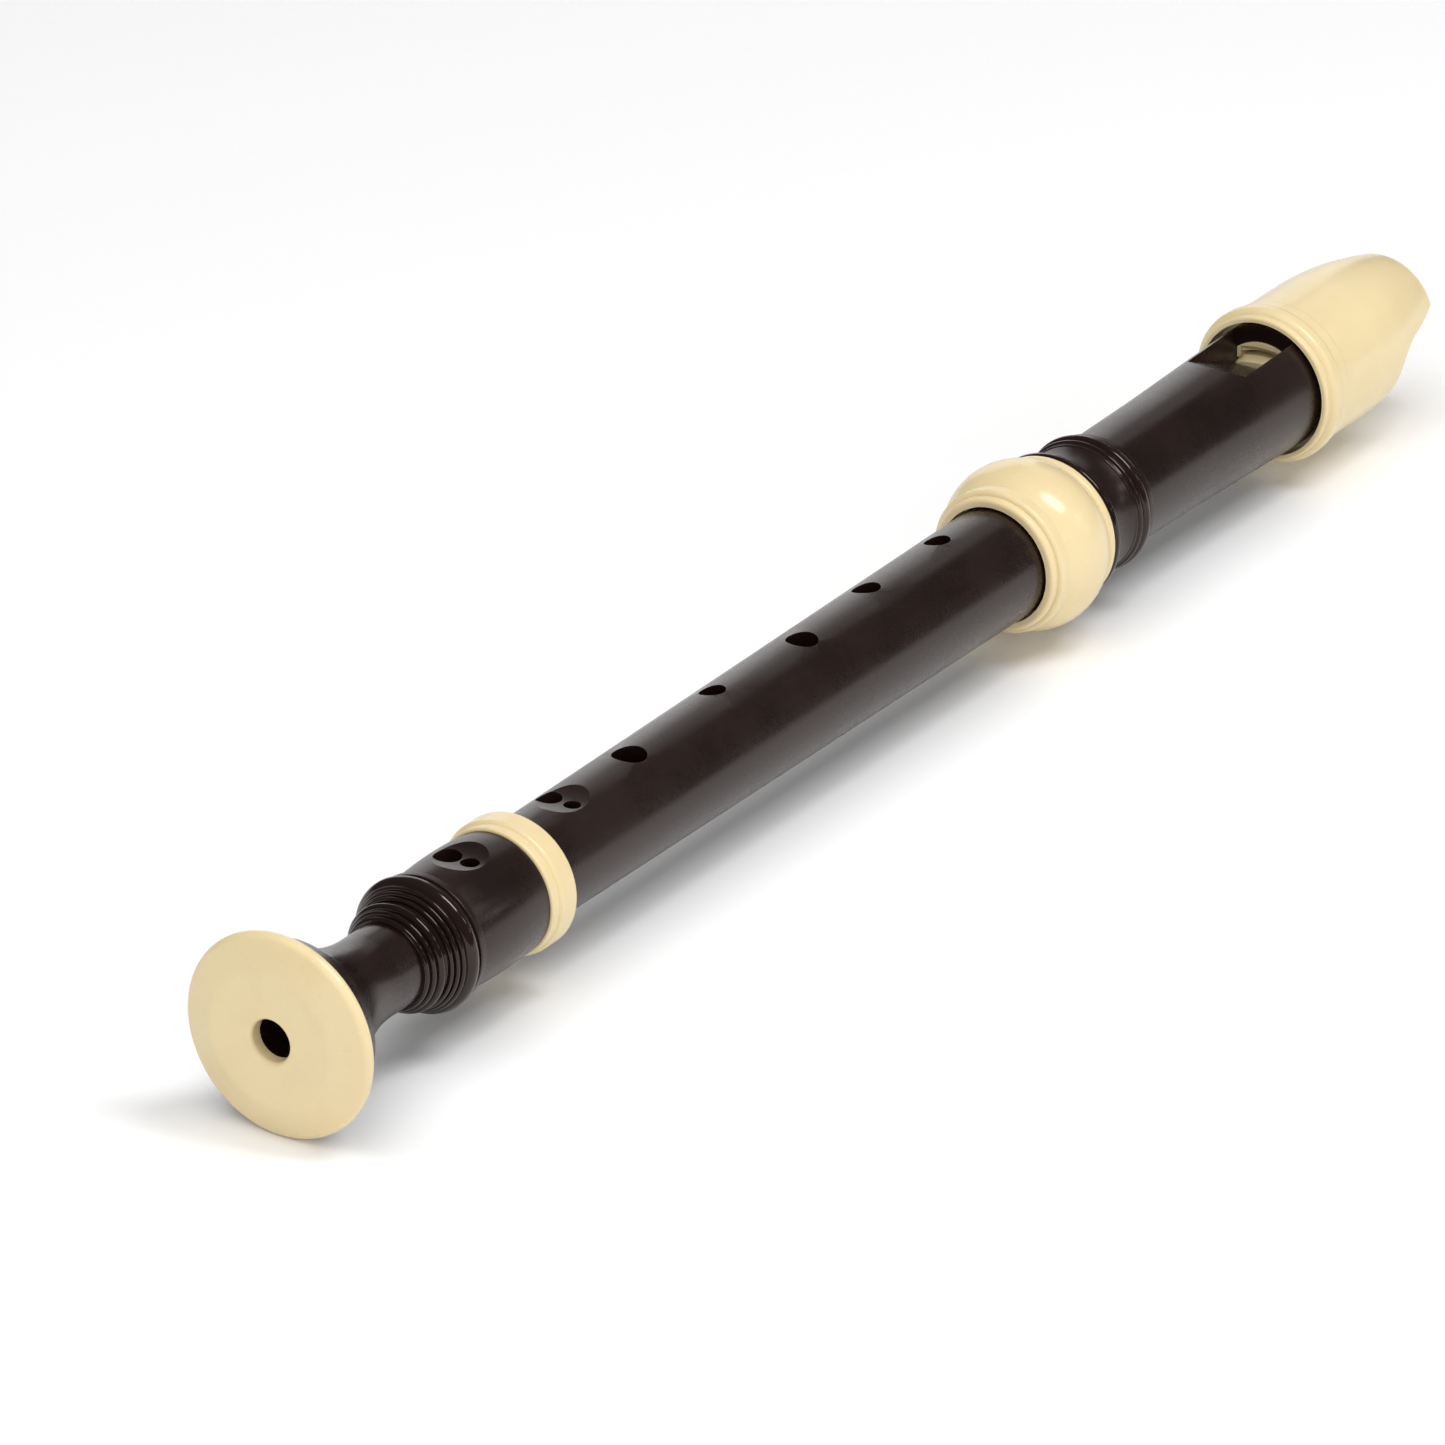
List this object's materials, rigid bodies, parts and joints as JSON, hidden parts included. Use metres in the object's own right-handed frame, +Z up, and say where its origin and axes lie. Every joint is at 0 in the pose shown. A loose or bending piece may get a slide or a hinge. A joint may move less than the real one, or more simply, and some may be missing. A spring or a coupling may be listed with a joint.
{
  "type": "soprano recorder",
  "caption": "School soprano recorder in three joints with ivory bell cap, rings, bulb and beak; the head and the foot pull off and turn on their tenons.",
  "frame": {"origin": "middle of the length, on the surface that the recorder lies on, straight under its bore axis", "axes": "+X along the bore towards the beak, +Z up, the side of the finger holes and the window, +Y the player's right-hand side of the holes"},
  "size_m": [0.3292, 0.0342, 0.0343],
  "materials": {
    "dark_plastic": "satin, polished on the beads",
    "ivory_plastic": "gloss"
  },
  "bodies": {
    "middle": {"middle_tube": "dark_plastic"},
    "head_ring": {"bulb_ring": "ivory_plastic"},
    "head": {"head_socket": "dark_plastic", "head_tube": "dark_plastic", "block": "ivory_plastic", "beak": "ivory_plastic"},
    "foot_end_ring": {"foot_ring": "ivory_plastic"},
    "foot": {"foot_tube": "dark_plastic", "bell": "dark_plastic", "bell_cap": "ivory_plastic"}
  },
  "joints": [
    {"name": "head_slide", "type": "slide", "parent": "middle", "child": "head_ring", "axis": [1, 0, 0], "range_m": [0, 0.03]},
    {"name": "head_turn", "type": "hinge", "parent": "head_ring", "child": "head", "pos_m": [0.05, 0, 0.01715], "axis": [1, 0, 0], "continuous": true},
    {"name": "foot_slide", "type": "slide", "parent": "middle", "child": "foot_end_ring", "axis": [-1, 0, 0], "range_m": [0, 0.025]},
    {"name": "foot_turn", "type": "hinge", "parent": "foot_end_ring", "child": "foot", "pos_m": [-0.1, 0, 0.01715], "axis": [1, 0, 0], "continuous": true}
  ]
}
